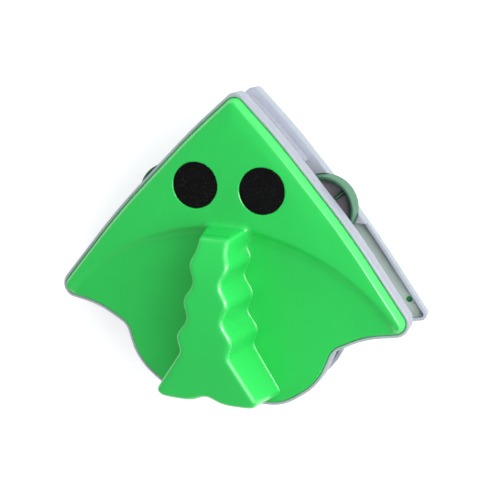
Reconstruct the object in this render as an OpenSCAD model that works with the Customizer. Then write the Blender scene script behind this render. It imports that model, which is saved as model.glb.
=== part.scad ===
// Two-sided magnetic glass cleaner: a front half with a finger grip and a rear half
// with two turning magnet dials, held together back to back through the glass.
// The rear cover's flat face rests on z = 0. The nose points along +Y, the grip along +Z.
// The origin is on the rest face and the plane of symmetry, 85.5 mm behind the nose tip.

/* [Outline] */
// Distance from the plane of symmetry to a wing tip's corner
wing_x = 118.5; // [115:0.5:120]
// Height of the wing tip's corner
wing_y = -51.8; // [-54:0.2:-50]
// Height of the nose corner
nose_y = 84.5; // [82:0.5:90]
// Height of the straight foot edge
foot_y = -108.5; // [-112:0.5:-106]
// Width of the white rim around a green cover
rim_w = 1.8; // [1.6:0.05:3]
// Gap between a cover and its rim
seam = 0.15; // [0.1:0.05:0.3]

/* [Levels] */
// Thickness of the rear cover
rear_cover_h = 8.5; // [8:0.1:10]
// Height of the rear tray's lip above the rear cover
rear_lip_h = 7; // [6.5:0.1:7.5]
// Height of the rear tray's raised middle above the rear cover
rear_deck_h = 11; // [10.8:0.1:11.4]
// Space between the rear tray's raised middle and the front tray
glass_gap = 22; // [20:0.5:24]
// Height of the front tray
front_tray_h = 12.5; // [11.5:0.1:13]
// Height of a cover's sloping edge band
band_h = 6; // [5.5:0.1:6.5]
// Further rise from the edge band to the flat forehead
crown_h = 1.4; // [1.2:0.1:2.5]
// Height of the grip above the front tray's rim
grip_h = 44.5; // [38:0.5:50]

/* [Grip] */
// Half width of the grip where the finger waves start
grip_w = 10; // [9:0.5:11]
// Distance from one finger wave to the next
finger_pitch = 21.9; // [20:0.1:24]
// Half the depth of a finger wave
finger_wave = 2; // [1:0.1:2.2]
// Half width of the grip's foot
grip_foot_w = 31.4; // [29:0.2:33]

/* [Eyes] */
// Distance from the plane of symmetry to an eye disc's centre
eye_x = 21.6; // [19:0.2:24]
// Height of the eye discs' centres
eye_y = 27.4; // [26:0.2:31]
// Radius of an eye disc
eye_r = 14.3; // [12:0.1:15]

/* [Dials] */
// Distance from the plane of symmetry to a dial's axis
dial_x = 51; // [50:0.2:52]
// Height of the dials' axes
dial_y = 13.6; // [13:0.2:15]
// Outer radius of a dial
dial_r = 21; // [20:0.1:21.5]
// Height of a dial
dial_h = 14.2; // [13:0.1:14.4]
// Radius of a dial's axle
axle_r = 3; // [2.5:0.1:3.5]

/* [Fasteners] */
// Radius of a screw's shank
screw_r = 1.5; // [1.2:0.1:1.6]
// Radius of a screw's head
head_r = 3; // [2.6:0.1:3.1]

/* [Hidden] */
$fn = 48;

// Colours
green = [0.20, 0.77, 0.33];
teal = [0.36, 0.60, 0.50];
white = [0.86, 0.87, 0.92];
felt = [0.90, 0.90, 0.93];
magnet_grey = [0.42, 0.41, 0.43];
steel = [0.70, 0.71, 0.73];
black = [0.07, 0.07, 0.08];

// Levels along z
rear_rim_z = rear_cover_h;
lip_z = rear_rim_z + rear_lip_h;
deck_z = rear_rim_z + rear_deck_h;
front_back_z = deck_z + glass_gap;
front_rim_z = front_back_z + front_tray_h;
glass_z = (deck_z + front_back_z) / 2;
forehead_z = front_rim_z + band_h + crown_h;
grip_top_z = front_rim_z + grip_h;
channel_z = lip_z - 3;
pocket_z = deck_z - 3.5;

// Walls
skin = 2;
tray_floor = 2.5;
skirt_h = 4;
boss_r = 4.5;
pad_clear = 0.25;

// Rounding of a green cover's wing tips
wing_r = 6.9;

// Corners of a green cover's right side from shoulder to foot: x, y and rounding radius.
// The nose corner and the mirrored left side complete the outline. The trays' tips are sharper.
right_corners = [
    [28, 57.8, 500],
    [76, 4.6, 500],
    [wing_x, wing_y, wing_r],
    [88.3, -57.4, 60],
    [68.1, -68.6, 14],
    [60.4, -91.6, 40],
    [37.3, foot_y, 28],
];

// The wing scoops are bounded above by one arc on each side
scoop_arc_x = -3.5;
scoop_arc_y = -143.5;
scoop_arc_r = 147;
scoop_tilt = 2.4;
scoop_floor = 2;

// Screw places
front_screw_at = [[0, 62], [-40, -88], [40, -88], [-94, -42], [94, -42]];
rear_screw_at = [[0, 60], [-40, -84], [40, -84], [-84, -42], [84, -42]];
peg_at = [[-106.8, -42], [106.8, -42]];

// ---------- Outline functions ----------

function unit(v) = v / norm(v);

// The arc that rounds corner b, between neighbours a and c
function corner_arc(a, b, c, r) =
    let (u = unit(a - b),
         w = unit(c - b),
         half = acos(u * w) / 2,
         centre = b + unit(u + w) * r / sin(half),
         first = b + u * r / tan(half) - centre,
         last = b + w * r / tan(half) - centre,
         from = atan2(first.y, first.x),
         turn = (atan2(last.y, last.x) - from + 540) % 360 - 180,
         steps = max(4, ceil(abs(turn) / 8)))
    [for (i = [0:steps]) centre + r * [cos(from + turn * i / steps), sin(from + turn * i / steps)]];

// Rounds every corner [x, y, radius] of a closed outline
function rounded(p) =
    let (n = len(p), xy = [for (q = p) [q.x, q.y]])
    [for (i = [0:n - 1]) each corner_arc(xy[(i + n - 1) % n], xy[i], xy[(i + 1) % n], p[i][2])];

// Adds the mirrored left side to a right side that runs from top to bottom
function both_sides(right) =
    concat(right, [for (i = [len(right) - 1:-1:0]) [-right[i].x, right[i].y, right[i][2]]]);

// Half width of the grip's front face at height y below its top end
wave_end_y = -69.2;
grip_foot_y = -100;
toe_h = 0.8;
toe_gap_h = 3.4;
toe_corner_r = 4.5;
grip_nose_y = -9;
function grip_half_width(y) =
    grip_w + 0.0016 * y * y + finger_wave * cos(360 * (y + 14.5) / finger_pitch);

// ---------- Shared shapes ----------

// A cover's plan, grown outwards (or inwards when negative), with its wing tip and nose radii
module plan(grow = 0, tip_r = wing_r, nose_r = 6.5) {
    right = [for (c = right_corners) c.x == wing_x ? [c.x, c.y, tip_r] : c];
    nose = [0, nose_y, nose_r];
    offset(delta = grow) polygon(rounded(concat([nose], both_sides(right))));
}

module slab(from, to) {
    translate([0, 0, from]) linear_extrude(height = to - from) children();
}

// A cover's domed skin on z = 0: the sloping band, then the crown up to the forehead
band_scale = 0.957;
crown_scale = 0.76;
module dome(crown) {
    linear_extrude(height = band_h, scale = band_scale) plan();
    translate([0, eye_y, band_h])
        linear_extrude(height = crown, scale = crown_scale)
            translate([0, -eye_y]) scale(band_scale) plan();
}

// The plan of the right wing scoop, from the grip outwards
module scoop_plan(start_x) {
    intersection() {
        translate([scoop_arc_x, scoop_arc_y]) circle(r = scoop_arc_r, $fn = 96);
        translate([start_x, -120]) square([125, 130]);
    }
}

// The space over one wing scoop, deepest beside the grip
module scoop_space(start_x, floor_h, height) {
    translate([0, 0, floor_h])
        rotate([0, -scoop_tilt, 0])
            linear_extrude(height = height) scoop_plan(start_x);
}

// The grip's plan at its front face: finger waves, a flared foot and two toe lobes
module grip_plan() {
    waves = [for (y = [grip_nose_y:-2.5:wave_end_y]) [grip_half_width(y), y]];
    toes = [for (i = [0:18])
            let (x = grip_foot_w * cos(180 * i / 18),
                 in_corner = max(0, abs(x) - grip_foot_w + toe_corner_r))
            [x, grip_foot_y - toe_h * abs(sin(180 * x / grip_foot_w))
                + toe_gap_h * exp(-pow(x / 7, 2))
                + toe_corner_r - sqrt(pow(toe_corner_r, 2) - pow(in_corner, 2))]];
    right = concat([[7.4, 0.5]], waves, [[grip_half_width(wave_end_y), wave_end_y]]);
    left = [for (i = [len(right) - 1:-1:0]) [-right[i].x, right[i].y]];
    polygon(concat(right, toes, left));
}

// The grip's outline seen from the side, in y and z
module grip_side() {
    polygon(rounded([
        [7, front_rim_z - 20, 1],
        [1, front_rim_z + 30, 6],
        [-16, front_rim_z + 41, 55],
        [-60, grip_top_z + 0.6, 120],
        [-103.5, grip_top_z - 8.4, 5],
        [-110, front_rim_z - 20, 1],
    ]));
}

// The neck that widens the grip's top end down to the forehead
neck_h = 27;
neck_w = 11.4;
neck_top_w = 7.6;
neck_l = 9.6;
neck_top_l = 6.8;
module grip_neck() {
    translate([0, -6, front_rim_z + 5])
        linear_extrude(height = neck_h, scale = [neck_top_w / neck_w, neck_top_l / neck_l])
            translate([-neck_w, 0]) square([2 * neck_w, neck_l]);
}

// The grip's solid, or its core when inset
module grip_solid(inset = 0) {
    taper = [0.86, 0.96];
    intersection() {
        translate([0, 0, front_rim_z])
            linear_extrude(height = grip_h, scale = taper, slices = 3)
                scale([1 / taper.x, 1 / taper.y]) offset(delta = -inset) grip_plan();
        rotate([90, 0, 90])
            linear_extrude(height = 90, center = true) offset(delta = -inset) grip_side();
    }
}

// The pads' plan: set back from the edges, but full at the nose, and clear of the dials
module pad_plan() {
    difference() {
        union() {
            plan(-17);
            intersection() {
                plan(-1.5);
                translate([-60, 42]) square([120, 60]);
            }
        }
        for (side = [-1, 1]) translate([side * dial_x, dial_y]) circle(r = dial_r + 3);
    }
}

// A wiper blade beside the wing's straight edge, on the right side
module blade(from, to) {
    slab(from, to) intersection() {
        difference() {
            plan(-12.6);
            plan(-15.2);
        }
        translate([60, -38]) square([60, 33]);
    }
}

module mirrored(side) {
    mirror([side < 0 ? 1 : 0, 0, 0]) children();
}

// Screws with their heads towards the glass; direction is the side the heads face
module screws(places, head_z, tip_z) {
    head_h = 1.8;
    toward = sign(tip_z - head_z);
    for (at = places) translate([at.x, at.y, head_z]) {
        mirror([0, 0, toward < 0 ? 1 : 0]) {
            difference() {
                cylinder(r = head_r, h = head_h);
                for (turn = [0, 90]) rotate(turn)
                    cube([3.6, 0.8, 2], center = true);
            }
            translate([0, 0, head_h]) cylinder(r = screw_r, h = abs(tip_z - head_z) - head_h);
        }
    }
}

module at_each(places) {
    for (at = places) translate([at.x, at.y, 0]) children();
}

// ---------- Rear half ----------

// Green rear shell: a flat rest face with shallow wing scoops, a locating skirt, screw
// bosses and tip pegs
module rear_cover() {
    core_z = rear_cover_h - 3.5;
    rear_scoop_h = 2.4;
    rear_scoop_tilt = 1.3;
    rest_strip_w = 44;
    boss_top = rear_rim_z + 3.5;
    color(green) difference() {
        union() {
            difference() {
                translate([0, 0, rear_rim_z]) mirror([0, 0, 1]) dome(rear_cover_h - band_h);
                for (side = [-1, 1]) mirrored(side) translate([0, 0, rear_scoop_h])
                    rotate([0, rear_scoop_tilt, 0]) mirror([0, 0, 1])
                        linear_extrude(height = 20) scoop_plan(rest_strip_w / 2);
                slab(core_z, rear_rim_z + 1) plan(-9);
            }
            slab(rear_rim_z, rear_rim_z + 1.8) difference() {
                plan();
                plan(-skin);
            }
            slab(rear_rim_z - 0.5, rear_rim_z) difference() {
                plan();
                plan(-9.5);
            }
            at_each(rear_screw_at) translate([0, 0, core_z - 0.5])
                cylinder(r = boss_r, h = boss_top - core_z + 0.5);
            at_each(peg_at) translate([0, 0, rear_rim_z - 1]) cylinder(r = 1.85, h = 4.1);
        }
        at_each(rear_screw_at) translate([0, 0, core_z + 0.5]) cylinder(r = screw_r, h = 20);
    }
}

rear_nose_r = 2.5;
front_nose_r = 4;

// Region of the rear tray inside its edge channel, and flush with its lip around the nose
module deck_plan(inset = 0) {
    plan(-9 - inset);
    intersection() {
        plan(seam + rim_w - (inset > 0 ? inset + 2 : 0), nose_r = rear_nose_r);
        translate([-120, 5 + inset]) square([240, 120]);
    }
}

// White rear tray: lip, edge channel, raised deck, dial pockets and axle bosses
module rear_tray() {
    outer = seam + rim_w;
    cavity_top = deck_z - skin;
    axle_boss_r = 6;
    lip_tip_r = 2;
    color(white) difference() {
        union() {
            slab(rear_rim_z, lip_z) plan(outer, lip_tip_r, rear_nose_r);
            slab(lip_z, deck_z) deck_plan();
        }
        slab(channel_z, lip_z + 1) difference() {
            plan(outer - skin, lip_tip_r, rear_nose_r);
            deck_plan();
        }
        slab(rear_rim_z - 1, rear_rim_z + 2) plan(seam);
        difference() {
            slab(rear_rim_z + 1, cavity_top) deck_plan(2.5);
            for (side = [-1, 1]) translate([side * dial_x, dial_y, 0]) {
                translate([0, 0, pocket_z - skin]) cylinder(r = dial_r + 2.5, h = 20);
                translate([0, 0, rear_rim_z + 2]) cylinder(r = axle_boss_r, h = 20);
            }
            at_each(rear_screw_at) translate([0, 0, rear_rim_z + 3.5])
                cylinder(r = boss_r, h = 20);
        }
        for (side = [-1, 1]) translate([side * dial_x, dial_y, 0]) {
            translate([0, 0, pocket_z]) cylinder(r = dial_r + 0.5, h = 20, $fn = 96);
            cylinder(r = axle_r, h = 40);
        }
        at_each(rear_screw_at) {
            translate([0, 0, deck_z - 2]) cylinder(r = head_r + 0.3, h = 10);
            cylinder(r = screw_r + 0.3, h = 40);
            cylinder(r = boss_r + 0.2, h = rear_rim_z + 3.5);
        }
        at_each(peg_at) cylinder(r = 2, h = 40);
    }
}

// Steel keeper under the dial pockets
module rear_yoke_plate() {
    color(steel) slab(pocket_z - skin - 2, pocket_z - skin) difference() {
        hull() for (side = [-1, 1]) translate([side * (dial_x - 5), dial_y - 5]) circle(r = 12);
        for (side = [-1, 1]) translate([side * dial_x, dial_y]) circle(r = 6.3);
    }
}

module rear_pad() { color(felt) slab(deck_z, glass_z - pad_clear) pad_plan(); }
module rear_blade_left() { color(black) mirrored(-1) blade(deck_z, glass_z - pad_clear); }
module rear_blade_right() { color(black) mirrored(1) blade(deck_z, glass_z - pad_clear); }
module rear_screws() { color(steel) screws(rear_screw_at, deck_z - 0.2, rear_rim_z - 2.5); }

// Turning magnet dial: thumb rim, floor, hub with a running bore and four ribs
dial_z = pocket_z + 0.5;
dial_wall = 2.2;
dial_floor = 2;
hub_r = 6.5;
hub_h = 8.5;
rib_turn = 42;
rib_w = 1.6;
module dial() {
    color(teal) translate([dial_x, dial_y, dial_z]) difference() {
        union() {
            difference() {
                cylinder(r = dial_r, h = dial_h, $fn = 96);
                translate([0, 0, dial_floor]) cylinder(r = dial_r - dial_wall, h = 20, $fn = 96);
            }
            cylinder(r = hub_r, h = hub_h);
            for (i = [0:3]) rotate(rib_turn + 90 * i)
                translate([hub_r - 0.4, -rib_w / 2, 1])
                    cube([dial_r - dial_wall - hub_r + 1.4, rib_w, 9.5]);
        }
        translate([0, 0, -1]) cylinder(r = axle_r + 0.05, h = 30);
    }
}

// Four magnet segments between the dial's ribs
module dial_magnets() {
    play = 0.2;
    color(magnet_grey) translate([dial_x, dial_y, dial_z + dial_floor]) difference() {
        cylinder(r = dial_r - dial_wall - play, h = 6.5, $fn = 96);
        translate([0, 0, -1]) cylinder(r = hub_r + play, h = 20);
        for (i = [0:1]) rotate(rib_turn + 90 * i)
            cube([60, rib_w + 2 * play, 60], center = true);
    }
}

// Fixed axle, pressed into the rear tray
clip_z = dial_z + hub_h + 0.3;
clip_h = 1.5;
module dial_axle() {
    color(steel) translate([dial_x, dial_y, rear_rim_z + 2])
        cylinder(r = axle_r, h = clip_z + clip_h - rear_rim_z - 2);
}

// Washer clip that keeps the dial on its axle
module dial_clip() {
    color(steel) translate([dial_x, dial_y, clip_z]) difference() {
        cylinder(r = hub_r - 0.9, h = clip_h);
        translate([0, 0, -1]) cylinder(r = axle_r, h = 5);
    }
}

module dial_left() { mirrored(-1) dial(); }
module dial_right() { mirrored(1) dial(); }
module dial_magnet_left() { mirrored(-1) dial_magnets(); }
module dial_magnet_right() { mirrored(1) dial_magnets(); }
module dial_axle_left() { mirrored(-1) dial_axle(); }
module dial_axle_right() { mirrored(1) dial_axle(); }
module dial_clip_left() { mirrored(-1) dial_clip(); }
module dial_clip_right() { mirrored(1) dial_clip(); }

// ---------- Front half ----------

front_magnet_x = 46.5;
front_magnet_y = 9.5;
front_magnet_r = 15;
front_magnet_h = 8;

// White front tray: rim wall, floor, magnet sockets and screw seats
module front_tray() {
    floor_z = front_back_z + tray_floor;
    color(white) difference() {
        union() {
            difference() {
                slab(front_back_z, front_rim_z) plan(seam + rim_w, nose_r = front_nose_r);
                slab(floor_z, front_rim_z + 1) plan(seam);
            }
            at_each(front_screw_at) translate([0, 0, floor_z - 0.5])
                cylinder(r = boss_r, h = 2);
            for (side = [-1, 1]) translate([side * front_magnet_x, front_magnet_y, floor_z - 0.5])
                difference() {
                    cylinder(r = front_magnet_r + 2, h = 3.5);
                    cylinder(r = front_magnet_r + 0.2, h = 10);
                }
        }
        at_each(front_screw_at) {
            translate([0, 0, front_back_z - 1]) cylinder(r = head_r + 0.3, h = 3);
            translate([0, 0, front_back_z]) cylinder(r = screw_r + 0.3, h = 10);
        }
    }
}

// Green front shell: domed forehead, two wing scoops, eye seats and the hollow grip
module front_cover() {
    boss_bottom = front_back_z + tray_floor + 1.5;
    core_w = 3;
    color(green) difference() {
        union() {
            difference() {
                translate([0, 0, front_rim_z]) dome(crown_h);
                for (side = [-1, 1]) mirrored(side)
                    scoop_space(-0.5, front_rim_z + scoop_floor, 20);
                slab(front_rim_z - 1, front_rim_z + band_h - 1.5) difference() {
                    plan(-9);
                    for (side = [-1, 1]) mirrored(side) offset(delta = 3) scoop_plan(-10);
                }
            }
            grip_solid();
            grip_neck();
            slab(front_rim_z - skirt_h, front_rim_z + 0.5) difference() {
                plan();
                plan(-skin);
            }
            at_each(front_screw_at) translate([0, 0, boss_bottom])
                cylinder(r = boss_r - 0.5, h = front_rim_z + 1 - boss_bottom);
            translate([front_screw_at[0].x, front_screw_at[0].y, front_rim_z])
                cylinder(r = boss_r - 0.5, h = band_h - 1);
        }
        translate([0, 0, -0.01]) grip_solid(core_w);
        for (side = [-1, 1]) translate([side * eye_x, eye_y, forehead_z - 2])
            cylinder(r = eye_r + 0.3, h = 5, $fn = 96);
        at_each(front_screw_at) translate([0, 0, boss_bottom - 1])
            cylinder(r = screw_r, h = front_rim_z + 1 - boss_bottom);
    }
}

module front_magnet() {
    color(magnet_grey)
        translate([front_magnet_x, front_magnet_y, front_back_z + tray_floor])
            cylinder(r = front_magnet_r, h = front_magnet_h);
}

module front_magnet_left() { mirrored(-1) front_magnet(); }
module front_magnet_right() { mirrored(1) front_magnet(); }

// Steel keeper across the two front magnets
module front_yoke_plate() {
    yoke_z = front_back_z + tray_floor + front_magnet_h;
    color(steel) slab(yoke_z, yoke_z + 1.8)
        hull() for (side = [-1, 1]) translate([side * front_magnet_x, front_magnet_y]) circle(r = 13);
}

module front_pad() { color(felt) slab(glass_z + pad_clear, front_back_z) pad_plan(); }
module front_blade_left() { color(black) mirrored(-1) blade(glass_z + pad_clear, front_back_z); }
module front_blade_right() { color(black) mirrored(1) blade(glass_z + pad_clear, front_back_z); }
module front_screws() { color(steel) screws(front_screw_at, front_back_z + 0.2, front_rim_z); }

// Round black felt disc in the forehead
module eye_disc() {
    color(black) translate([eye_x, eye_y, forehead_z - 2]) cylinder(r = eye_r, h = 1.7, $fn = 96);
}

module eye_disc_left() { mirrored(-1) eye_disc(); }
module eye_disc_right() { mirrored(1) eye_disc(); }

rear_cover();
rear_tray();
rear_yoke_plate();
rear_pad();
rear_blade_left();
rear_blade_right();
rear_screws();
dial_axle_left();
dial_axle_right();
dial_clip_left();
dial_clip_right();
dial_left();
dial_right();
dial_magnet_left();
dial_magnet_right();
front_tray();
front_cover();
front_yoke_plate();
front_magnet_left();
front_magnet_right();
front_pad();
front_blade_left();
front_blade_right();
front_screws();
eye_disc_left();
eye_disc_right();
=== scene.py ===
"""The looks of a two-sided magnetic glass cleaner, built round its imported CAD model.

Lengths are in millimetres until a mesh is made; part axes: +Y nose, +X right wing, +Z grip.
"""
import math

import bmesh
import bpy
import numpy as np
from mathutils import Matrix, Vector
from mathutils.geometry import delaunay_2d_cdt


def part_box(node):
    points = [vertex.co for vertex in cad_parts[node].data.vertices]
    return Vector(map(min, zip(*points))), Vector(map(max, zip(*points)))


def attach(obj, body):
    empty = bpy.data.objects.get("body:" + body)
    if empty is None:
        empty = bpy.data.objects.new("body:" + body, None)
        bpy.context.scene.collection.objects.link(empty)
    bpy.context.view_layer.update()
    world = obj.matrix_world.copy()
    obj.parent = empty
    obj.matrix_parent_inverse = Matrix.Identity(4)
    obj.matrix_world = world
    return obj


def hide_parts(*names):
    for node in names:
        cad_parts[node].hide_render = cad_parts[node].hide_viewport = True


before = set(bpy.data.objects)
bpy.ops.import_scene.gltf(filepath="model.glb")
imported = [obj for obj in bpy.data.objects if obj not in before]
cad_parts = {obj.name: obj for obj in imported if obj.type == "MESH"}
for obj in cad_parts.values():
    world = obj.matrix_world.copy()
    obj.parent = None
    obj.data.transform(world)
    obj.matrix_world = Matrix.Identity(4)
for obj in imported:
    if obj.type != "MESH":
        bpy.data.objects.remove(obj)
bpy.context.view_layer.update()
MM = 0.001


def low(node):
    return np.array(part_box(node)[0]) / MM


def high(node):
    return np.array(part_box(node)[1]) / MM


# ---------- Levels, from the frame ----------
RIM_Z = high("front_tray")[2]
REAR_RIM_Z = low("rear_tray")[2]
DISC_BOTTOM = low("eye_disc_right")[2]
EYE = (low("eye_disc_right") + high("eye_disc_right"))[:2] / 2
EYE_R = (high("eye_disc_right") - low("eye_disc_right"))[0] / 2
DIAL = (low("dial_right") + high("dial_right"))[:2] / 2
DIAL_R = (high("dial_right") - low("dial_right"))[0] / 2
DIAL_Z = low("dial_right")[2]
DIAL_H = high("dial_right")[2] - DIAL_Z
GRIP_TOP = high("front_cover")[2]

# ---------- Driving dimensions of the covers ----------
# Corners of the right half of the outline: x, y, corner radius.
NOSE_CORNER = (0, 84.5, 6.5)
RIGHT_CORNERS = [(28, 57.8, 500), (76, 4.6, 500), (118.5, -51.8, 6.9),
                 (88.3, -57.4, 60), (68.1, -68.6, 14), (60.4, -91.6, 40),
                 (37.3, -108.5, 28)]
OUTLINE_STEP = 1.15
SEAM_INSET = 0.15
# A cover rises from its rim plane by EDGE_RISE, up a steep edge band to a soft ridge, then over
# a low crown. SKIRT is how far its wall reaches below the rim plane, inside the tray.
SKIRT = 1.5
EDGE_RISE = 0.1
BAND_W = 2.75
BAND_H = 6.0
RIDGE_SOFT = 1.1
CROWN_H = 1.4
CROWN_SHARE = 0.17
CROWN_SOFT = 0.3
CROWN_CENTRE = (0.0, EYE[1])
# Insets of the mesh rings across the edge band and its ridge.
BAND_RINGS = [0.0, 0.2, 0.5, 0.9, 1.4, 1.9, 2.3, 2.6, 2.9, 3.25, 3.7, 4.4, 5.4, 6.8, 8.2]
SEAT_R = EYE_R + 0.25
EYE_CHAMFER = 0.55
EYE_CHAMFER_DROP = 0.4
SEAT_GAP = 0.05
SEAT_RINGS = (-0.06, 0.0, EYE_CHAMFER / 2, EYE_CHAMFER, EYE_CHAMFER + 0.3, 1.6)
SEAT_STEPS = 120
COVER_GRID = 1.7

# ---------- Wing scoops ----------
# Each is bounded by an arc. Its floor is SCOOP_DEPTH under the crown there, at the grip (IN) and
# at the wing tip (OUT), and slopes down to LOW_EDGE above the rim plane at the trailing edge.
SCOOP_CENTRE = (-3.5, -143.5)
SCOOP_R = 147.0
SCOOP_EDGE = 10.0
SCOOP_EDGE_OUT = 6.0
SCOOP_LIP = 0.55
SCOOP_DEPTH_IN = 4.6
SCOOP_DEPTH_OUT = 1.6
SCOOP_X_IN = 20.0
SCOOP_X_OUT = 100.0
LOW_EDGE = 1.1
ARC_FROM, ARC_TO = math.radians(30), math.radians(92)
ARC_ROWS = (-2.0, -1.2, -0.6, 0, 0.6, 1.2, 2.0, 2.9, 4.0, 5.2)

# ---------- Rear cover ----------
REAR_CROWN_SPARE = 0.6
REAR_STRIP_X = 22.0
REAR_STRIP_EDGE = 4.0
REAR_SCOOP_DEPTH = 2.4
REAR_SCOOP_FALL = 0.0227
REAR_SCOOP_EDGE = 4.0
REAR_GRID = 1.6

# ---------- Grip ----------
# Heights are above the rim plane. TAPER is the share of the plan's width and length that is left
# at the top, as draft. The neck widens the grip's upper end towards the forehead.
GRIP_H = 44.5
GRIP_W = 10.0
FINGER_PITCH = 21.9
FINGER_WAVE = 2.0
WAVE_PHASE = 14.5
WAVE_FLARE = 0.0016
WAVE_FROM = -9.0
WAVE_TO = -69.2
FOOT_W = 31.4
FOOT_Y = -100.0
TOE_H = 0.8
TOE_GAP_H = 3.4
TOE_GAP_W = 7.0
TOE_CORNER_R = 4.5
TOP_W = 8.2
LOOP_STEP = 0.4
LOOP_SOFT = 1.25
TAPER = (0.86, 0.96)
EDGE_R = 3.4
EDGE_ANGLES = (12, 26, 42, 60, 76, 90)
NECK_H = 32.5
NECK_FROM = 9.0
NECK_LENGTH = 8.0
NECK_WIDEN = 0.45
NECK_REACH = 4.0
FILLET = 0.9
SADDLE = 3.4
SADDLE_FROM = -12.0
SADDLE_LENGTH = 14.0
COLLAR_ROWS = (-0.12, -0.03, 0.0, 0.04, 0.13, 0.29, 0.5, 0.74, 1.0, 1.25)
WALL_RINGS = 15
WALL_SINK = 2.2
GRIP_GRID = 1.3
GRIP_SIDE = [(7, -20, 1), (1, 30, 6), (-16, 41, 55), (-60, GRIP_H + 0.6, 120),
             (-103.5, GRIP_H - 8.4, 5), (-110, -20, 1)]


# ---------- Plane geometry ----------

def unit(v):
    return v / np.linalg.norm(v)


def corner_arc(a, b, c, r, step):
    """Points on the arc of radius r that rounds corner b between its neighbours."""
    u, w = unit(a - b), unit(c - b)
    half = math.acos(float(np.clip(u @ w, -1, 1))) / 2
    centre = b + unit(u + w) * r / math.sin(half)
    first = b + u * r / math.tan(half) - centre
    last = b + w * r / math.tan(half) - centre
    start = math.atan2(first[1], first[0])
    turn = (math.atan2(last[1], last[0]) - start + 3 * math.pi) % (2 * math.pi) - math.pi
    n = max(4, math.ceil(abs(turn) * r / step))
    angles = start + turn * np.linspace(0, 1, n + 1)
    return centre + r * np.stack([np.cos(angles), np.sin(angles)], axis=1)


def rounded(corners, step=0.5):
    """A closed outline whose corners (x, y, radius) are rounded."""
    xy = np.array([c[:2] for c in corners], float)
    n = len(xy)
    return np.concatenate([corner_arc(xy[i - 1], xy[i], xy[(i + 1) % n], corners[i][2], step)
                           for i in range(n)])


def resampled(loop, step):
    """The closed loop again, counter-clockwise, with even spacing."""
    x, y = loop.T
    if (x * np.roll(y, -1) - y * np.roll(x, -1)).sum() < 0:
        loop = loop[::-1]
    ends = np.concatenate([loop, loop[:1]])
    along = np.concatenate([[0], np.cumsum(np.linalg.norm(np.diff(ends, axis=0), axis=1))])
    at = np.linspace(0, along[-1], max(8, round(along[-1] / step)), endpoint=False)
    return np.stack([np.interp(at, along, ends[:, k]) for k in range(2)], axis=1)


def smoothed(loop, step, sigma):
    """The closed loop with its corners softened by a Gaussian along its length."""
    n = max(1, round(3 * sigma / step))
    offsets = np.arange(-n, n + 1)
    weights = np.exp(-0.5 * (offsets * step / sigma) ** 2)
    weights /= weights.sum()
    return sum(w * np.roll(loop, -k, axis=0) for k, w in zip(offsets, weights))


def normals(loop):
    """Outward normals of a counter-clockwise loop."""
    t = np.roll(loop, -1, axis=0) - np.roll(loop, 1, axis=0)
    t /= np.linalg.norm(t, axis=1)[:, None]
    return np.stack([t[:, 1], -t[:, 0]], axis=1)


def chain_distance(points, a, b):
    """Distance from each point to the nearest of the segments a to b."""
    out = np.empty(len(points))
    ab = b - a
    size = np.maximum((ab * ab).sum(1), 1e-12)
    for i in range(0, len(points), 2000):
        p = points[i:i + 2000, None, :] - a[None]
        t = np.clip((p * ab).sum(2) / size, 0, 1)
        out[i:i + 2000] = np.sqrt((((p - t[..., None] * ab) ** 2).sum(2)).min(1))
    return out


def is_inside(points, loop):
    """Even-odd test of each point against a closed loop."""
    a, b = loop, np.roll(loop, -1, axis=0)
    out = np.zeros(len(points), bool)
    for i in range(0, len(points), 4000):
        x, y = points[i:i + 4000, 0, None], points[i:i + 4000, 1, None]
        spans = (a[:, 1] > y) != (b[:, 1] > y)
        rise = np.where(b[:, 1] == a[:, 1], 1e-9, b[:, 1] - a[:, 1])
        crosses = x < (b[:, 0] - a[:, 0]) * (y - a[:, 1]) / rise + a[:, 0]
        out[i:i + 4000] = (spans & crosses).sum(1) % 2 == 1
    return out


def inset_of(points, loop):
    """Signed distance inside a closed loop."""
    d = chain_distance(points, loop, np.roll(loop, -1, axis=0))
    return np.where(is_inside(points, loop), d, -d)


def softmin(a, b, k):
    return (a + b - np.sqrt((a - b) ** 2 + k * k)) / 2


def smoothstep(t):
    t = np.clip(t, 0, 1)
    return t * t * (3 - 2 * t)


def ring_points(loop, insets, reach=0.03):
    """Points on the loop's inward offsets, without those that other edges come closer to."""
    found, n = [], normals(loop)
    for d in insets:
        p = loop - n * d
        found.append(p[inset_of(p, loop) > d - reach - 0.02 * d])
    return np.concatenate(found)


def hex_grid(lo, hi, step):
    rows = np.arange(lo[1], hi[1], step * math.sqrt(3) / 2)
    cols = np.arange(lo[0], hi[0], step)
    return np.array([(x + (step / 2 if i % 2 else 0), y) for i, y in enumerate(rows) for x in cols])


def circle(centre, r, n):
    a = np.arange(n) * 2 * math.pi / n
    return np.stack([centre[0] + r * np.cos(a), centre[1] + r * np.sin(a)], axis=1)


# ---------- Meshes ----------

def piece(name, verts, faces, material, sharp=40):
    """A closed, smooth-shaded mesh object from millimetre coordinates."""
    mesh = bpy.data.meshes.new(name)
    mesh.from_pydata([tuple(v) for v in np.asarray(verts, float) * MM], [], faces)
    bm = bmesh.new()
    bm.from_mesh(mesh)
    bmesh.ops.recalc_face_normals(bm, faces=bm.faces)
    bm.to_mesh(mesh)
    bm.free()
    mesh.polygons.foreach_set("use_smooth", [True] * len(mesh.polygons))
    mesh.set_sharp_from_angle(angle=math.radians(sharp))
    mesh.materials.append(material)
    obj = bpy.data.objects.new(name, mesh)
    bpy.context.scene.collection.objects.link(obj)
    return obj


def stands_for(obj, body, slot, *nodes):
    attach(obj, body)
    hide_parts(*nodes)
    return obj


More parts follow.
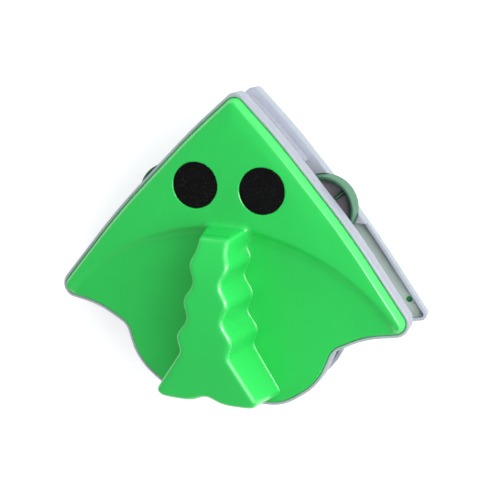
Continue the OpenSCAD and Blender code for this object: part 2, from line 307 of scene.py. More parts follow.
def patch(loop, inner):
    """Triangulates the region inside a loop with extra points. The loop's points come first."""
    pts = [Vector(p) for p in np.concatenate([loop, inner])]
    got = delaunay_2d_cdt(pts, [], [list(range(len(loop)))], 1, 1e-4, True)
    order = np.empty(len(got[0]), int)
    for new, olds in enumerate(got[3]):
        order[new] = olds[0] if olds else -1
    if (order < 0).any():
        raise ValueError("the triangulation added a point")
    faces = order[np.array(got[2])]
    middle = np.concatenate([loop, inner])[faces].mean(axis=1)
    return faces[is_inside(middle, loop)].tolist()


def loop_band(first, second, n):
    """Quads between two rings of n points that start at these indices."""
    return [[first + i, first + (i + 1) % n, second + (i + 1) % n, second + i]
            for i in range(n)]


def relief(name, loop, inner, height, base, side, material):
    """A solid bounded by the loop: a shaped face over a flat base. side is +1 or -1 along z."""
    n = len(loop)
    top = np.concatenate([loop, inner])
    z = base + side * height(top)
    rim = [np.column_stack([loop, np.full(n, base + side * h)]) for h in (0.0, -SKIRT)]
    verts = np.concatenate([np.column_stack([top, z])] + rim)
    at = [0, len(top), len(top) + n]
    faces = patch(loop, inner)
    for a, b in zip(at, at[1:]):
        faces += loop_band(a, b, n)
    faces.append([at[-1] + i for i in range(n)])
    return piece(name, verts, faces, material)


def lathe(name, profile, centre, material, steps=128, sharp=40):
    """Turns a closed (r, z) profile about a vertical axis."""
    n = len(profile)
    angles = np.arange(steps) * 2 * math.pi / steps
    verts = np.array([(centre[0] + r * math.cos(a), centre[1] + r * math.sin(a), z)
                      for a in angles for r, z in profile])
    faces = [[i * n + j, i * n + (j + 1) % n, ((i + 1) % steps) * n + (j + 1) % n,
              ((i + 1) % steps) * n + j] for i in range(steps) for j in range(n)]
    return piece(name, verts, faces, material, sharp)


def joined(name, objects):
    """Joins several meshes into one object."""
    bm = bmesh.new()
    for o in objects:
        bm.from_mesh(o.data)
    mesh = bpy.data.meshes.new(name)
    bm.to_mesh(mesh)
    bm.free()
    mesh.materials.append(objects[0].data.materials[0])
    for o in objects:
        bpy.data.objects.remove(o)
    obj = bpy.data.objects.new(name, mesh)
    bpy.context.scene.collection.objects.link(obj)
    return obj


def with_modifiers(obj):
    """The object's mesh with its modifiers applied."""
    graph = bpy.context.evaluated_depsgraph_get()
    mesh = bpy.data.meshes.new_from_object(obj.evaluated_get(graph))
    obj.modifiers.clear()
    obj.data = mesh
    return obj


def moulded(node, material, radius, segments=3, sharp=35):
    """A CAD node's own shape with rounded edges, as a moulded or pressed part has."""
    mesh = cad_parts[node].data.copy()
    bm = bmesh.new()
    bm.from_mesh(mesh)
    bmesh.ops.remove_doubles(bm, verts=bm.verts, dist=2e-6)
    bmesh.ops.dissolve_limit(bm, angle_limit=math.radians(0.6), verts=bm.verts, edges=bm.edges)
    bm.to_mesh(mesh)
    bm.free()
    mesh.materials.clear()
    mesh.materials.append(material)
    obj = bpy.data.objects.new(node + "_moulded", mesh)
    bpy.context.scene.collection.objects.link(obj)
    bevel = obj.modifiers.new("edges", "BEVEL")
    bevel.width = radius * MM
    bevel.segments = segments
    bevel.limit_method = "ANGLE"
    bevel.angle_limit = math.radians(32)
    bevel.use_clamp_overlap = True
    with_modifiers(obj)
    obj.data.polygons.foreach_set("use_smooth", [True] * len(obj.data.polygons))
    obj.data.set_sharp_from_angle(angle=math.radians(sharp))
    return obj


# ---------- Materials ----------

def linear(rgb):
    """Linear colour from 8-bit display values."""
    c = np.array(rgb, float) / 255
    return tuple(np.where(c <= 0.04045, c / 12.92, ((c + 0.055) / 1.055) ** 2.4))


class Nodes:
    """A small helper that builds one material's node tree."""

    def __init__(self, name):
        self.material = bpy.data.materials.new(name)
        self.material.use_nodes = True
        self.tree = self.material.node_tree
        self.shader = self.tree.nodes["Principled BSDF"]
        self.coords = self.add("ShaderNodeTexCoord").outputs["Object"]

    def add(self, kind, **values):
        node = self.tree.nodes.new(kind)
        for key, value in values.items():
            if key in node.inputs:
                node.inputs[key].default_value = value
            else:
                setattr(node, key, value)
        return node

    def link(self, a, b):
        self.tree.links.new(a, b)

    def noise(self, scale, detail=3.0, roughness=0.55, stretch=None):
        node = self.add("ShaderNodeTexNoise")
        node.inputs["Scale"].default_value = scale
        node.inputs["Detail"].default_value = detail
        node.inputs["Roughness"].default_value = roughness
        source = self.coords
        if stretch:
            mapping = self.add("ShaderNodeMapping")
            mapping.inputs["Scale"].default_value = stretch
            self.link(source, mapping.inputs["Vector"])
            source = mapping.outputs["Vector"]
        self.link(source, node.inputs["Vector"])
        return node.outputs["Fac"]

    def ramp(self, source, stops):
        node = self.add("ShaderNodeValToRGB")
        elements = node.color_ramp.elements
        while len(elements) < len(stops):
            elements.new(0.5)
        for element, (at, colour) in zip(elements, stops):
            element.position = at
            element.color = (*colour, 1)
        self.link(source, node.inputs["Fac"])
        return node.outputs["Color"]

    def mix(self, factor, a, b):
        node = self.add("ShaderNodeMix", data_type="RGBA")
        self.link(factor, node.inputs["Factor"])
        for value, key in ((a, 6), (b, 7)):
            if hasattr(value, "links"):
                self.link(value, node.inputs[key])
            else:
                node.inputs[key].default_value = (*value, 1)
        return node.outputs[2]

    def span(self, source, lo, hi, src=(0.3, 0.7)):
        node = self.add("ShaderNodeMapRange")
        node.inputs["From Min"].default_value = src[0]
        node.inputs["From Max"].default_value = src[1]
        node.inputs["To Min"].default_value = lo
        node.inputs["To Max"].default_value = hi
        self.link(source, node.inputs["Value"])
        return node.outputs["Result"]

    def bumps(self, layers):
        """Bump from (height, strength, distance in mm) layers, coarse first."""
        last = None
        for height, strength, distance in layers:
            node = self.add("ShaderNodeBump")
            node.inputs["Strength"].default_value = strength
            node.inputs["Distance"].default_value = distance * MM
            self.link(height, node.inputs["Height"])
            if last:
                self.link(last, node.inputs["Normal"])
            last = node.outputs["Normal"]
        self.link(last, self.shader.inputs["Normal"])

    def set(self, **values):
        for key, value in values.items():
            self.shader.inputs[key.replace("_", " ")].default_value = value


# Noise and cell scales below are per metre of object space.

def shaded(rgb, factor):
    return tuple(np.clip(np.array(linear(rgb)) * factor, 0, 1))


def plastic(name, rgb, roughness, spread=0.06, texture=0.05, coat=0.0, see_through_and_painted_light=None, top=None):
    """Injection-moulded plastic: faint flow mottling, pigment specks and a fine satin skin.
    top is painted light: the lighter colour of faces that look up, so that tops read lit and walls
    shaded, and the height tint, (colour, z none, z full), is partly where a thin wall lets the part
    behind it show through and partly painted light that lightens a rim's top or a shaded channel
    floor."""
    m = Nodes(name)
    flow = m.noise(38, 4, 0.6)
    pigment = m.noise(1500, 2)
    base = m.ramp(flow, [(0.3, shaded(rgb, 1 - spread)), (0.7, shaded(rgb, 1 + spread))])
    fleck = m.ramp(pigment, [(0.35, (0.955,) * 3), (0.65, (1.0,) * 3)])
    mixer = m.add("ShaderNodeMix", data_type="RGBA", blend_type="MULTIPLY")
    mixer.inputs["Factor"].default_value = 1.0
    wall = base
    if top:
        base = linear(top)
    # Colour by height: partly the green part behind showing through a thin wall, partly painted
    # light that lightens a rim's top or a shaded channel floor.
    if see_through_and_painted_light:
        parts = m.add("ShaderNodeSeparateXYZ")
        m.link(m.coords, parts.inputs[0])
        share = m.span(parts.outputs["Z"], 0, 1, (see_through_and_painted_light[1] * MM, see_through_and_painted_light[2] * MM))
        base = m.mix(share, base, linear(see_through_and_painted_light[0]))
    # Painted light: faces that look up take the lighter top colour and walls keep the darker base,
    # so tops read lit and walls shaded.
    if top:
        facing = m.add("ShaderNodeSeparateXYZ")
        m.link(m.add("ShaderNodeNewGeometry").outputs["Normal"], facing.inputs[0])
        base = m.mix(m.span(facing.outputs["Z"], 0, 1, (0.3, 0.8)), wall, base)
    m.link(base, mixer.inputs[6])
    m.link(fleck, mixer.inputs[7])
    m.link(mixer.outputs[2], m.shader.inputs["Base Color"])
    m.link(m.span(m.noise(95, 4), roughness - 0.05, roughness + 0.06),
           m.shader.inputs["Roughness"])
    m.bumps([(m.noise(60, 2), texture, 0.25), (m.noise(1900, 3), texture, 0.05)])
    m.set(Specular_IOR_Level=0.5, IOR=1.5)
    if coat:
        m.set(Coat_Weight=coat, Coat_Roughness=0.12)
    return m.material


def foam(name, rgb, fleck_rgb, scale, bump, distance, sheen=0.2):
    """Open-celled foam or pressed felt: pits, lighter fibres and a soft sheen."""
    m = Nodes(name)
    cells = m.add("ShaderNodeTexVoronoi", feature="SMOOTH_F1")
    cells.inputs["Scale"].default_value = scale
    m.link(m.coords, cells.inputs["Vector"])
    pits = m.span(cells.outputs["Distance"], 0, 1, (0.0, 0.55))
    fibres = m.noise(scale * 1.6, 5, 0.7)
    # Painted shade: the colour darkens into the cell pits, where shade falls, on top of the pits'
    # bumps.
    tone = m.ramp(pits, [(0.1, shaded(rgb, 0.72)), (0.75, shaded(rgb, 1.12))])
    fleck = m.ramp(fibres, [(0.60, (0, 0, 0)), (0.72, (1, 1, 1))])
    colour = m.mix(fleck, tone, linear(fleck_rgb))
    m.link(colour, m.shader.inputs["Base Color"])
    m.bumps([(m.noise(scale * 0.25, 3), bump * 0.6, distance * 2), (pits, bump, distance),
             (fibres, bump, distance * 0.7)])
    m.set(Roughness=0.95, Specular_IOR_Level=0.12, Sheen_Weight=sheen, Sheen_Roughness=0.5)
    return m.material


def metal(name, rgb, roughness, grain, spots=0.1, metallic=1.0):
    """Plated or sintered metal: drawn grain, dull spots and fine pitting."""
    m = Nodes(name)
    streaks = m.noise(420, 3, 0.6, stretch=grain)
    patches = m.noise(70, 5, 0.65)
    base = m.ramp(patches, [(0.3, shaded(rgb, 1 - spots)), (0.7, shaded(rgb, 1 + spots))])
    m.link(base, m.shader.inputs["Base Color"])
    m.link(m.span(streaks, roughness - 0.08, roughness + 0.12), m.shader.inputs["Roughness"])
    m.bumps([(streaks, 0.15, 0.03), (m.noise(2400, 2), 0.08, 0.02)])
    m.set(Metallic=metallic)
    return m.material


def rubber(name, rgb):
    """Matt blade rubber with fine dust and drag lines."""
    m = Nodes(name)
    dust = m.noise(600, 5, 0.7)
    base = m.ramp(dust, [(0.4, shaded(rgb, 1.0)), (0.75, shaded(rgb, 1.9))])
    m.link(base, m.shader.inputs["Base Color"])
    m.link(m.span(m.noise(180, 3), 0.62, 0.8), m.shader.inputs["Roughness"])
    m.bumps([(m.noise(900, 3, stretch=(1, 1, 0.1)), 0.2, 0.06)])
    m.set(Specular_IOR_Level=0.35)
    return m.material


GREEN = plastic("green_plastic", (36, 199, 83), 0.36, spread=0.025, texture=0.05, coat=0.4)
# The rim's top turns lighter and slightly green: partly the green cover showing through, partly
# painted light on the rim's top.
WHITE_FRONT = plastic("white_plastic_front", (139, 143, 155), 0.42, spread=0.02,
                      see_through_and_painted_light=((178, 188, 192), RIM_Z - 0.8, RIM_Z + 0.1))
# Painted light: its upward faces are lighter than its walls. Low down it turns lighter and greener,
# partly the green cover showing through and partly painted light on the shaded channel floor.
WHITE_REAR = plastic("white_plastic_rear", (146, 150, 162), 0.42, spread=0.02,
                     top=(178, 183, 196),
                     see_through_and_painted_light=((178, 194, 184), REAR_RIM_Z + 5.2, REAR_RIM_Z + 4.2))
TEAL = plastic("dial_plastic", (52, 108, 77), 0.5, spread=0.05, texture=0.05)
FOAM = foam("black_foam", (3, 3, 4), (92, 90, 97), 950, 0.6, 0.3, sheen=0.02)
FELT = foam("white_felt", (130, 133, 145), (153, 156, 168), 900, 0.45, 0.25)
RUBBER = rubber("blade_rubber", (34, 34, 36))
MAGNET = metal("magnet", (128, 125, 130), 0.5, (1, 1, 1), 0.14, metallic=0.35)
KEEPER = metal("keeper_steel", (178, 180, 184), 0.34, (0.15, 1, 1), 0.08)
SCREW = metal("screw_steel", (188, 190, 194), 0.28, (1, 1, 0.2), 0.07)


# ---------- Covers ----------

def mirrored_outline():
    left = [(-x, y, r) for x, y, r in reversed(RIGHT_CORNERS)]
    return resampled(rounded([NOSE_CORNER] + RIGHT_CORNERS + left), OUTLINE_STEP)


OUTLINE = mirrored_outline()
OUTLINE = OUTLINE - normals(OUTLINE) * SEAM_INSET


def crown_share(points, inset):
    """How far the crown has risen: 0 at the edge band's ridge, 1 on the forehead."""
    away = np.hypot(points[:, 0] - CROWN_CENTRE[0], points[:, 1] - CROWN_CENTRE[1])
    past = np.maximum(inset - BAND_W, 0)
    return softmin(past / (past + away + 1e-9) / CROWN_SHARE, 1, CROWN_SOFT)


def dome_height(points, rise=CROWN_H):
    """Height of a cover above its rim plane, before the scoops and the eyes."""
    inset = np.maximum(inset_of(points, OUTLINE), 0)
    crown = BAND_H + rise * crown_share(points, inset)
    slope = (BAND_H - EDGE_RISE) / BAND_W
    return softmin(EDGE_RISE + slope * inset, crown, RIDGE_SOFT)


def lower_outline():
    """The trailing edges and the foot: the part of the outline below the wing tips."""
    a, b = OUTLINE, np.roll(OUTLINE, -1, axis=0)
    tip_x, tip_y = RIGHT_CORNERS[2][0], RIGHT_CORNERS[2][1]
    keep = (a[:, 1] < tip_y - 1.2) & (np.abs(a[:, 0]) < tip_x - 3)
    return a[keep], b[keep]


def scoop_inset(points):
    """Distance inside the arc that bounds a wing scoop, and the nearest point on it."""
    x = np.abs(points[:, 0]) - SCOOP_CENTRE[0]
    y = points[:, 1] - SCOOP_CENTRE[1]
    away = np.hypot(x, y)
    on_arc = np.stack([np.where(points[:, 0] < 0, -1, 1) * (SCOOP_CENTRE[0] + x * SCOOP_R / away),
                       SCOOP_CENTRE[1] + y * SCOOP_R / away], axis=1)
    return SCOOP_R - away, on_arc


def scooped(points, top):
    """Lowers the wings below the arcs to the scoops' sloping floors."""
    out = top.copy()
    q, on_arc = scoop_inset(points)
    hit = q > -4 * SCOOP_LIP
    p, q = points[hit], (q[hit] + np.hypot(q[hit], SCOOP_LIP)) / 2
    out_x = np.clip((np.abs(p[:, 0]) - SCOOP_X_IN) / (SCOOP_X_OUT - SCOOP_X_IN), 0, 1)
    depth = SCOOP_DEPTH_IN + (SCOOP_DEPTH_OUT - SCOOP_DEPTH_IN) * out_x
    down = chain_distance(p, *lower_outline())
    u = q / (q + down + 1e-6)
    floor = (dome_height(on_arc[hit]) - depth) * (1 - u) + LOW_EDGE * u
    edge = SCOOP_EDGE + (SCOOP_EDGE_OUT - SCOOP_EDGE) * out_x
    blend = 1 - np.clip(1 - q / edge, 0, 1) ** 3
    out[hit] = top[hit] * (1 - blend) + np.minimum(top[hit], floor) * blend
    return out


def front_surface(points):
    """The front cover's height without grip or eye seats."""
    return scooped(points, dome_height(points))


# ---------- Grip ----------

def grip_loop():
    """The grip's plan at its full height: finger waves, flared foot and toe lobes."""
    y = np.arange(WAVE_FROM, WAVE_TO, -0.7)
    swing = np.cos(2 * math.pi * (y + WAVE_PHASE) / FINGER_PITCH)
    wave = GRIP_W + WAVE_FLARE * y * y + FINGER_WAVE * swing
    t = np.linspace(0, math.pi, 61)
    x = FOOT_W * np.cos(t)
    dip = TOE_H * np.abs(np.sin(math.pi * x / FOOT_W))
    dip -= TOE_GAP_H * np.exp(-(x / TOE_GAP_W) ** 2)
    in_corner = np.clip(np.abs(x) - FOOT_W + TOE_CORNER_R, 0, None)
    dip -= TOE_CORNER_R - np.sqrt(np.clip(TOE_CORNER_R ** 2 - in_corner ** 2, 0, None))
    toes = np.stack([x, FOOT_Y - dip], axis=1)
    right = np.concatenate([[[TOP_W, 0.5]], np.stack([wave, y], axis=1)])
    loop = np.concatenate([right, toes, right[::-1] * (-1, 1)])
    return resampled(smoothed(resampled(loop, LOOP_STEP), LOOP_STEP, LOOP_SOFT), 1.0)


def side_height(y):
    """Height of the grip's front face above the rim plane, at height y on the plan."""
    side = rounded(GRIP_SIDE)
    side = side[side[:, 1] > 9]
    order = np.argsort(side[:, 0])
    return np.interp(y, side[order, 0], side[order, 1])


def at_height(loop, z):
    """The grip's drafted plan at heights z above the rim plane, one per point, with a neck
    that widens its top end down to the forehead."""
    share = np.clip(np.asarray(z) / GRIP_H, -1, 1)
    scale = [1 / t + (1 - 1 / t) * share for t in TAPER]
    neck = smoothstep((loop[:, 1] + NECK_FROM) / NECK_LENGTH)
    neck = neck * np.clip(1 - np.asarray(z) / NECK_H, 0, 1)
    return np.stack([loop[:, 0] * scale[0] * (1 + NECK_WIDEN * neck),
                     loop[:, 1] * scale[1] + NECK_REACH * neck], axis=1)


def fillet_size(y):
    """Radius of the grip's base fillet, which grows into a saddle at the forehead."""
    return FILLET + SADDLE * smoothstep((y - SADDLE_FROM) / SADDLE_LENGTH)


GRIP_LOOP = grip_loop()


def grip_base():
    """Where the grip's wall leaves its base fillet: its plan there and its heights."""
    z = np.full(len(GRIP_LOOP), 6.0)
    for _ in range(4):
        base = at_height(GRIP_LOOP, z)
        z = front_surface(base) + fillet_size(base[:, 1])
    return base, z


GRIP_BASE, GRIP_BASE_Z = grip_base()


def eye_distance(points, side):
    """Distance of each point from the centre of the left (-1) or right (1) disc."""
    return np.hypot(points[:, 0] - side * EYE[0], points[:, 1] - EYE[1])


def cover_height(points):
    """The front cover's height with the fillet round the grip and the eye seats."""
    h = front_surface(points)
    size = fillet_size(points[:, 1])
    near = (np.abs(points[:, 0]) < 50) & (points[:, 1] < 14)
    away = np.full(len(points), 99.0)
    away[near] = -inset_of(points[near], GRIP_BASE)
    out = np.clip(size - away, 0, size)
    h = h + size - np.sqrt(size ** 2 - out ** 2)
    h = h + np.clip(-away * 5, 0, 3)
    for side in (-1, 1):
        r = eye_distance(points, side)
        chamfer = np.clip((SEAT_R + EYE_CHAMFER - r) / EYE_CHAMFER, 0, 1) * EYE_CHAMFER_DROP
        h = np.where(r < SEAT_R, DISC_BOTTOM - RIM_Z - SEAT_GAP, h - chamfer)
    return h


def scoop_arc_points():
    """Rows of points along the arcs that bound the two scoops."""
    rows = []
    for q in ARC_ROWS:
        r = SCOOP_R - q
        a = np.arange(ARC_FROM, ARC_TO, 1.0 / r)
        x, y = SCOOP_CENTRE[0] + r * np.cos(a), SCOOP_CENTRE[1] + r * np.sin(a)
        keep = x > 1.0
        rows += [np.stack([s * x[keep], y[keep]], axis=1) for s in (-1, 1)]
    return np.concatenate(rows)


def collar_points():
    """Rows of points across the fillet round the grip's base."""
    rows, n = [], normals(GRIP_BASE)
    for t in COLLAR_ROWS:
        p = GRIP_BASE + n * (fillet_size(GRIP_BASE[:, 1]) * t)[:, None]
        away = -inset_of(p, GRIP_BASE)
        rows.append(p[np.abs(away) > np.abs(fillet_size(p[:, 1]) * t) - 0.06])
    return np.concatenate(rows)


def clear(points, edge, arcs=False):
    """The points that keep off the edge rings, the collar, the eye seats and the arcs' rows."""
    keep = inset_of(points, OUTLINE) > edge
    away = -inset_of(points, GRIP_BASE)
    keep &= (away > fillet_size(points[:, 1]) * 1.3) | (away < -1.2)
    for side in (-1, 1):
        keep &= np.abs(eye_distance(points, side) - SEAT_R - 0.8) > COVER_GRID
    if arcs:
        q = scoop_inset(points)[0]
        keep &= (q < ARC_ROWS[0] - 0.7) | (q > ARC_ROWS[-1] + 1.0)
    return points[keep]


def cover_points():
    """Points for the front cover: along its edge, arcs, eye seats and grip, and a grid."""
    seats = [circle((side * EYE[0], EYE[1]), SEAT_R + d, SEAT_STEPS) for side in (-1, 1)
             for d in SEAT_RINGS]
    grid = hex_grid(OUTLINE.min(0), OUTLINE.max(0), COVER_GRID)
    return np.concatenate([ring_points(OUTLINE, BAND_RINGS[1:]),
                           clear(scoop_arc_points(), BAND_RINGS[-1] + 0.2), collar_points(),
                           *seats, clear(grid, BAND_RINGS[-1] + 0.8, arcs=True)])


def front_shell():
    shell = relief("front_shell", OUTLINE, cover_points(), cover_height, RIM_Z, 1, GREEN)
    return stands_for(shell, "front_half", "green_plastic", "front_cover")


def front_grip():
    """The grip: a drafted wavy wall with a rounded front edge, standing on the cover."""
    n = len(GRIP_LOOP)
    face_z = side_height(GRIP_LOOP[:, 1])
    for _ in range(3):
        face_z = side_height(at_height(GRIP_LOOP, face_z)[:, 1])
    shoulder = face_z - EDGE_R
    foot = GRIP_BASE_Z - WALL_SINK
    rings = [np.column_stack([at_height(GRIP_LOOP, z), z])
             for z in [foot + (shoulder - foot) * t for t in np.linspace(0, 1, WALL_RINGS)]]
    edge = rings[-1][:, :2]
    inner = ring_points(edge, EDGE_R * (1 - np.cos(np.radians(EDGE_ANGLES))))
    grid = hex_grid(edge.min(0), edge.max(0), GRIP_GRID)
    inner = np.concatenate([inner, grid[inset_of(grid, edge) > EDGE_R + 0.7]])
    depth = np.clip(inset_of(inner, edge), 0, EDGE_R)
    z = side_height(inner[:, 1]) - EDGE_R + np.sqrt(EDGE_R ** 2 - (EDGE_R - depth) ** 2)
    verts = np.concatenate(rings + [np.column_stack([inner, z])])
    faces = [f for k in range(len(rings) - 1) for f in loop_band(k * n, (k + 1) * n, n)]
    top = (len(rings) - 1) * n
    faces += [[top + i for i in f] for f in patch(edge, inner)]
    faces.append(list(range(n)))
    verts[:, 2] += RIM_Z
    verts[:, 2] = np.minimum(verts[:, 2], GRIP_TOP)
    grip = piece("front_grip", verts, faces, GREEN, sharp=50)
    return stands_for(grip, "front_half", "green_plastic", "front_cover")


def rear_height(points):
    """The rear cover: the same band, a flat rest face and shallow scoops beside it."""
    rise = REAR_RIM_Z - BAND_H + REAR_CROWN_SPARE
    h = np.minimum(dome_height(points, rise), REAR_RIM_Z)
    out_x = np.abs(points[:, 0])
    strip = smoothstep((out_x - REAR_STRIP_X) / REAR_STRIP_EDGE)
    depth = np.clip(REAR_SCOOP_DEPTH - REAR_SCOOP_FALL * out_x, 0, 9)
    dip = smoothstep((scoop_inset(points)[0] + 0.5) / REAR_SCOOP_EDGE) * strip
    return np.minimum(h, REAR_RIM_Z - depth * dip)


def rear_shell():
    rings = ring_points(OUTLINE, BAND_RINGS[1:])
    grid = hex_grid(OUTLINE.min(0), OUTLINE.max(0), REAR_GRID)
    grid = grid[inset_of(grid, OUTLINE) > BAND_RINGS[-1] + 0.8]
    shell = relief("rear_shell", OUTLINE, np.concatenate([rings, grid]), rear_height,
                   REAR_RIM_Z, -1, GREEN)
    return stands_for(shell, "rear_half", "green_plastic", "rear_cover")


# ---------- Dials ----------

RIB_ANGLE = math.radians(42)
RIB_W = 1.6
RIB_TOP = 10.5
RIB_EDGE = 0.45


def dial(side):
    """A turning dial: thumb wall, floor, hub and four ribs, with rounded edges."""
    wall, floor, hub_r, hub_h, bore = 2.2, 2.0, 6.5, 8.5, 3.05
    inner = DIAL_R - wall
    profile = [(bore, 0, 0.3), (DIAL_R, 0, 0.9), (DIAL_R, DIAL_H, 0.8), (inner, DIAL_H, 0.8),
               (inner, floor, 1.0), (hub_r, floor, 0.8), (hub_r, hub_h, 0.5), (bore, hub_h, 0.3)]
    centre = (side * DIAL[0], DIAL[1])
    section = rounded(profile, 0.2) + (0, DIAL_Z)
    body = lathe("dial_body", section, centre, TEAL, steps=144)
    parts = [body]
    rib = rib_mesh(hub_r - 0.4, inner + 0.8, RIB_W, RIB_TOP, RIB_EDGE)
    for turn in range(4):
        angle = RIB_ANGLE + turn * math.pi / 2
        way = np.array([[math.cos(angle), -math.sin(angle)], [math.sin(angle), math.cos(angle)]])
        xy = rib[0][:, :2] @ way.T * (side, 1) + centre
        verts = np.column_stack([xy, rib[0][:, 2] + DIAL_Z])
        parts.append(piece("dial_rib", verts, rib[1], TEAL))
    name = "left" if side < 0 else "right"
    out = joined("dial_wheel_" + name, parts)
    return stands_for(out, "dial_" + name, "dial_plastic", "dial_" + name)


def rib_mesh(start, end, width, top, r):
    """A thin rib along x with rounded top edges."""
    section = rounded([(-width / 2, 1, 0.1), (width / 2, 1, 0.1), (width / 2, top, r),
                       (-width / 2, top, r)], 0.15)
    n = len(section)
    verts = np.concatenate([np.column_stack([np.full(n, x), section]) for x in (start, end)])
    faces = loop_band(0, n, n) + [list(range(n)), list(range(n, 2 * n))]
    return verts, faces


# ---------- Soft pieces ----------

def soft(node, body, slot, material, voxel, ripple):
    """A foam or felt piece: the CAD solid remeshed, rounded off and gently uneven."""
    obj = bpy.data.objects.new(node + "_soft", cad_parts[node].data.copy())
    bpy.context.scene.collection.objects.link(obj)
    obj.data.materials.clear()
    remesh = obj.modifiers.new("cells", "REMESH")
    remesh.mode = "VOXEL"
    remesh.voxel_size = voxel * MM
    soften = obj.modifiers.new("soft", "SMOOTH")
    soften.factor = 0.5
    soften.iterations = 4
    with_modifiers(obj)
    mesh = obj.data
    lo, hi = low(node), high(node)
    co = np.zeros(len(mesh.vertices) * 3)
    mesh.vertices.foreach_get("co", co)
    co = co.reshape(-1, 3) / MM
    wave = (np.sin(co[:, 0] * 0.31 + 1.7 * np.sin(co[:, 1] * 0.13))
            * np.cos(co[:, 1] * 0.27 + 1.3 * np.sin(co[:, 0] * 0.11))
            + 0.5 * np.sin(co[:, 0] * 0.83 + co[:, 1] * 0.71))
    middle = (lo[2] + hi[2]) / 2
    co[:, 2] -= np.sign(co[:, 2] - middle) * (wave + 1.5) * 0.33 * ripple
    co = np.clip(co, lo, hi)
    mesh.vertices.foreach_set("co", (co * MM).ravel())
    mesh.update()
    mesh.materials.append(material)
    mesh.polygons.foreach_set("use_smooth", [True] * len(mesh.polygons))
    return stands_for(obj, body, slot, node)


def build():
    front_shell()
    front_grip()
    rear_shell()
    hard = [("front_tray", "front_half", "white_plastic", WHITE_FRONT, 0.45),
            ("rear_tray", "rear_half", "white_plastic", WHITE_REAR, 0.45),
            ("front_yoke_plate", "front_half", "keeper_steel", KEEPER, 0.2),
            ("rear_yoke_plate", "rear_half", "keeper_steel", KEEPER, 0.2),
            ("front_screws", "front_half", "screw_steel", SCREW, 0.12),
            ("rear_screws", "rear_half", "screw_steel", SCREW, 0.12)]
    for side in ("left", "right"):
        dial(-1 if side == "left" else 1)
        hard += [("front_magnet_" + side, "front_half", "magnet", MAGNET, 0.5),
                 ("dial_magnet_" + side, "dial_" + side, "magnet", MAGNET, 0.35),
                 ("dial_axle_" + side, "rear_half", "screw_steel", SCREW, 0.3),
                 ("dial_clip_" + side, "rear_half", "screw_steel", SCREW, 0.2),
                 ("front_blade_" + side, "front_half", "blade_rubber", RUBBER, 0.4),
                 ("rear_blade_" + side, "rear_half", "blade_rubber", RUBBER, 0.4)]
        soft("eye_disc_" + side, "front_half", "black_foam", FOAM, 0.4, 0.12)
    soft("front_pad", "front_half", "white_felt", FELT, 1.3, 0.35)
    soft("rear_pad", "rear_half", "white_felt", FELT, 1.3, 0.35)
    for node, body, slot, material, radius in hard:
        stands_for(moulded(node, material, radius), body, slot, node)


# ---------- Stage ----------

CAM_TARGET = (13.2, -11.3, 54.0)
CAM_DISTANCE = 711.5
CAM_AZIMUTH = 36.67
CAM_ELEVATION = 67.65
CAM_ROLL = 122.57
CAM_LENS = 82.8


def camera():
    az, el = math.radians(CAM_AZIMUTH), math.radians(CAM_ELEVATION)
    back = Vector((math.cos(el) * math.cos(az), math.cos(el) * math.sin(az), math.sin(el)))
    up = (Vector((0, 0, 1)) - back * back.z).normalized()
    right = up.cross(back)
    turn = math.radians(CAM_ROLL)
    up = up * math.cos(turn) + right * math.sin(turn)
    right = up.cross(back)
    data = bpy.data.cameras.new("camera")
    data.lens = CAM_LENS
    data.clip_start, data.clip_end = 0.01, 20
    obj = bpy.data.objects.new("camera", data)
    place = (Vector(CAM_TARGET) + back * CAM_DISTANCE) * MM
    rotation = Matrix((right, up, back)).transposed().to_4x4()
    obj.matrix_world = Matrix.Translation(place) @ rotation
    bpy.context.scene.collection.objects.link(obj)
    bpy.context.scene.camera = obj


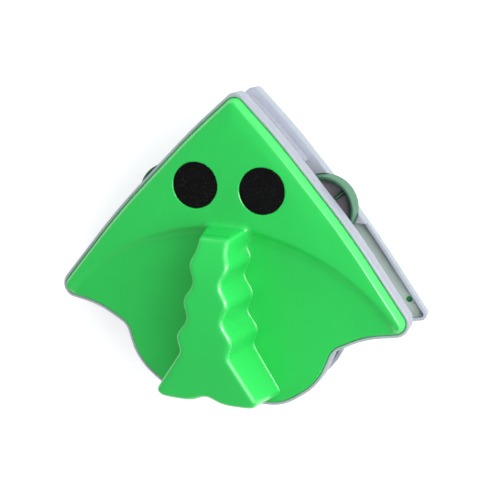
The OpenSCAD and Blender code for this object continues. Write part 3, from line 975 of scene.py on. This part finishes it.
# Area lights: name, place, size, power, shows in gloss, lights the surface.
LIGHTS = [("key", (0.65, 0.20, 0.38), (1.0, 1.0), 9.4, True, True),
          ("sparkle", (0.62, 0.18, 0.40), (0.22, 0.22), 5.0, True, False),
          ("top", (0.05, 0.92, 0.34), (0.9, 0.5), 3.8, False, True),
          ("foot_fill", (0.05, -0.95, 0.55), (0.9, 0.6), 3.4, False, True),
          ("left_fill", (-0.95, 0.05, 0.60), (0.8, 0.8), 2.9, False, True)]
LIGHT_TARGET = (0, -0.01, 0.05)
SKY = (0.93, 0.95, 1.0, 1)
SKY_STRENGTH = 0.34
FLOOR_HALF = 6.0
FLOOR_GAP = 0.0001
FLOOR_GLOW = 0.35


def area_light(name, place, size, power, glossy, diffuse):
    data = bpy.data.lights.new(name, "AREA")
    data.shape = "RECTANGLE"
    data.size, data.size_y = size
    data.energy = power
    obj = bpy.data.objects.new(name, data)
    aim = Vector(LIGHT_TARGET) - Vector(place)
    obj.matrix_world = (Matrix.Translation(Vector(place))
                        @ aim.to_track_quat("-Z", "Y").to_matrix().to_4x4())
    obj.visible_glossy = glossy
    obj.visible_diffuse = diffuse
    bpy.context.scene.collection.objects.link(obj)


def floor():
    m = Nodes("floor_paper")
    tone = m.ramp(m.noise(6, 3), [(0.3, (0.90, 0.90, 0.905)), (0.7, (0.93, 0.93, 0.935))])
    m.link(tone, m.shader.inputs["Base Color"])
    m.bumps([(m.noise(500, 3), 0.05, 0.1)])
    m.set(Roughness=0.8, Specular_IOR_Level=0.2, Emission_Strength=FLOOR_GLOW)
    m.shader.inputs["Emission Color"].default_value = (1, 1, 1, 1)
    mesh = bpy.data.meshes.new("floor")
    corners_xy = [(-1, -1), (1, -1), (1, 1), (-1, 1)]
    mesh.from_pydata([(x * FLOOR_HALF, y * FLOOR_HALF, -FLOOR_GAP) for x, y in corners_xy],
                     [], [(0, 1, 2, 3)])
    mesh.materials.append(m.material)
    obj = bpy.data.objects.new("floor", mesh)
    bpy.context.scene.collection.objects.link(obj)


def studio():
    scene = bpy.context.scene
    world = bpy.data.worlds.new("studio")
    world.use_nodes = True
    background = world.node_tree.nodes["Background"]
    background.inputs["Color"].default_value = SKY
    background.inputs["Strength"].default_value = SKY_STRENGTH
    scene.world = world
    for light in LIGHTS:
        area_light(*light)
    scene.view_settings.view_transform = "Standard"
    scene.view_settings.look = "None"
    scene.view_settings.exposure = 0.0


build()
floor()
camera()
studio()


def corners(bounds):
    return [[round(v, 5) for v in corner] for corner in bounds]
